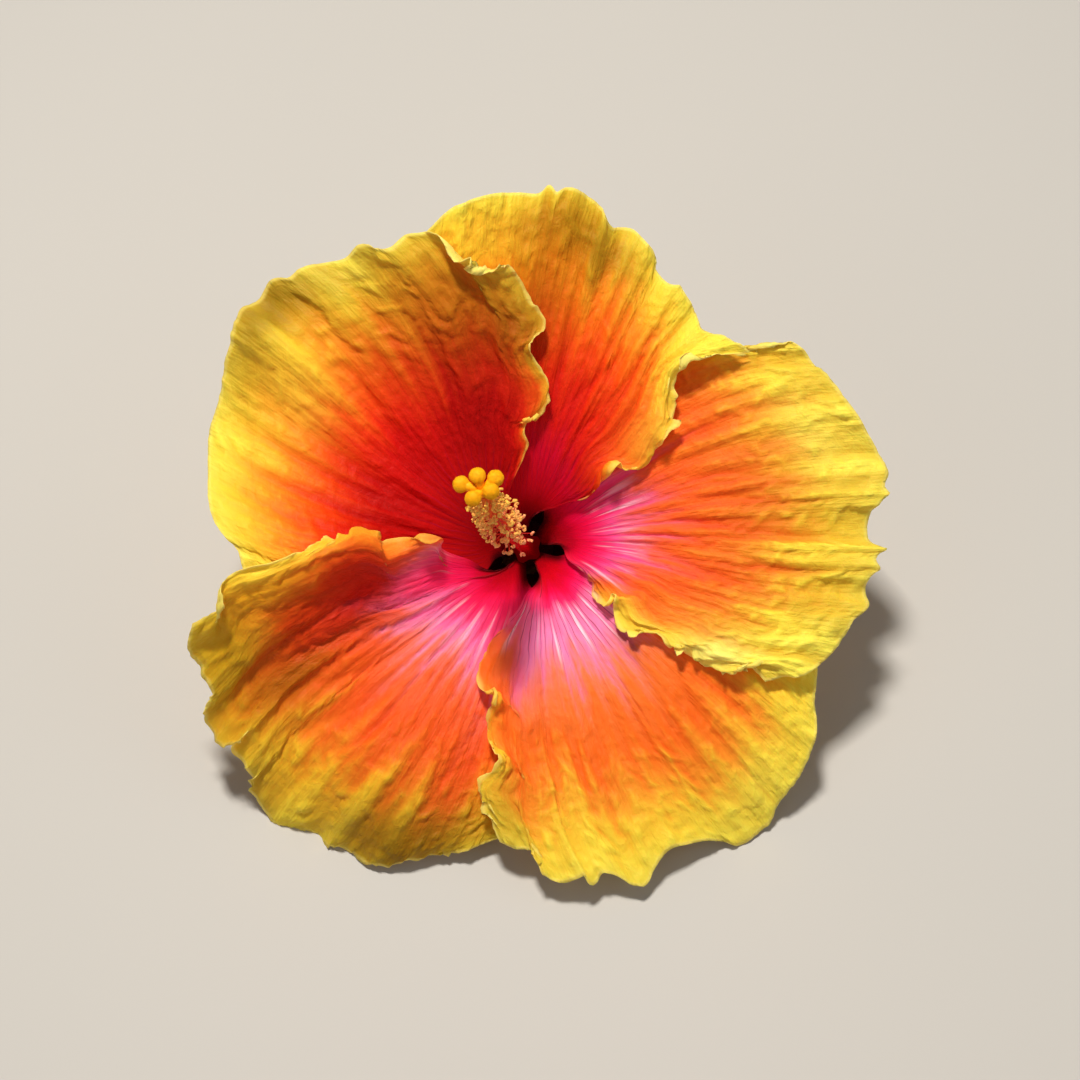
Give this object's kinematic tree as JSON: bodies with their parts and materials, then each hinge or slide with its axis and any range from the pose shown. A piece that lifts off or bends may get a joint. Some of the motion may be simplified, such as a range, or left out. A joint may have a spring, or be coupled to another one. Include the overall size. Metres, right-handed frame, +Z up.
{
  "type": "hibiscus flower",
  "caption": "Open hibiscus flower as picked: broad ruffled overlapping petals, leaning column with anthers and stigma pads, calyx, bracteoles and cut stalk.",
  "frame": {"origin": "on the surface that the flower lies on, below the middle of its bounding box", "axes": "+Z up; the flower's face looks up and leans towards -Y, +X to the right when seen face on"},
  "size_m": [0.15, 0.1242, 0.0905],
  "materials": {
    "petal": "thin soft petal, yellow at the rim through orange and red to a pink and crimson throat",
    "column": "soft red tube and filaments with pale powdery anthers",
    "stigma": "velvety yellow-orange pads on red branches",
    "sepal": "green, ribbed, finely hairy",
    "stalk": "green stalk, matt, paler at the cut"
  },
  "bodies": {
    "root": {"petal_upper_left": "petal", "petal_top": "petal", "petal_right": "petal", "petal_bottom": "petal", "petal_lower_left": "petal", "staminal_column": "column", "pistil": "stigma", "calyx": "sepal", "bracteole_1": "sepal", "bracteole_2": "sepal", "bracteole_3": "sepal", "bracteole_4": "sepal", "bracteole_5": "sepal", "bracteole_6": "sepal", "bracteole_7": "sepal", "flower_stalk": "stalk"}
  },
  "joints": []
}
